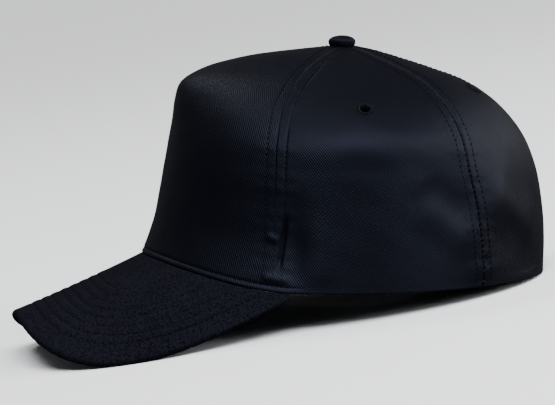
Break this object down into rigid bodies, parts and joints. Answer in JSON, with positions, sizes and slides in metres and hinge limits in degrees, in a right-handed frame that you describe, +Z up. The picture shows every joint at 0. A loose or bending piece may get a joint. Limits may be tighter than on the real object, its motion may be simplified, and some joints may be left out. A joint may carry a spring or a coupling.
{
  "type": "five panel cap",
  "caption": "Closed-back cap with a tall rounded crown, one wide front panel, sewn eyelets, a covered button and a curved stitched peak.",
  "frame": {"origin": "on the surface the cap rests on, under the middle of its bounding box", "axes": "+Z up from the surface, the peak toward -Y, +X toward the wearer's left"},
  "size_m": [0.16, 0.2678, 0.1308],
  "materials": {
    "crown_twill": "dark navy cotton twill with a soft sheen",
    "peak_twill": "dark matte twill",
    "button_twill": "dark twill over a button",
    "eyelet_thread": "dark sewing thread",
    "sweatband_cotton": "plain dark cotton"
  },
  "bodies": {
    "root": {"front_panel": "crown_twill", "side_panel_left": "crown_twill", "side_panel_right": "crown_twill", "back_panel_left": "crown_twill", "back_panel_right": "crown_twill", "button": "button_twill", "side_eyelet_left": "eyelet_thread", "side_eyelet_right": "eyelet_thread", "back_eyelet_left": "eyelet_thread", "back_eyelet_right": "eyelet_thread", "peak": "peak_twill", "sweatband": "sweatband_cotton"}
  },
  "joints": []
}
